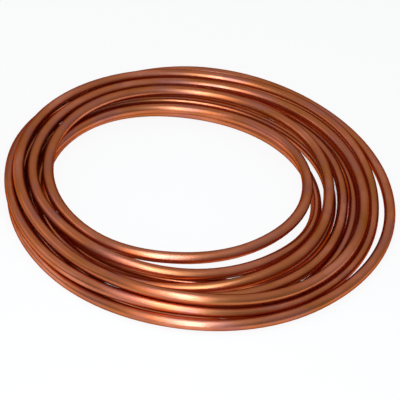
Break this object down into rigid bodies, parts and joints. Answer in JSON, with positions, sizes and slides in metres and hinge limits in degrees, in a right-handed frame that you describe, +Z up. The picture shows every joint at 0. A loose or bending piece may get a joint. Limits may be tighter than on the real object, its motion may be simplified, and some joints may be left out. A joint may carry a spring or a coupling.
{
  "type": "copper tube coil",
  "caption": "Loose flat coil of soft drawn copper tube with open cut ends, raw stock for water, gas and refrigeration lines.",
  "frame": {"origin": "middle of the coil's outline, on the floor that it lies on", "axes": "+Z up through the coil's eye, its shortest extent; +X towards the side where the turns are fanned out"},
  "size_m": [0.334, 0.3376, 0.0301],
  "materials": {
    "copper": "bright drawn and annealed copper, lightly tarnished"
  },
  "bodies": {
    "root": {"copper_tube": "copper"}
  },
  "joints": []
}
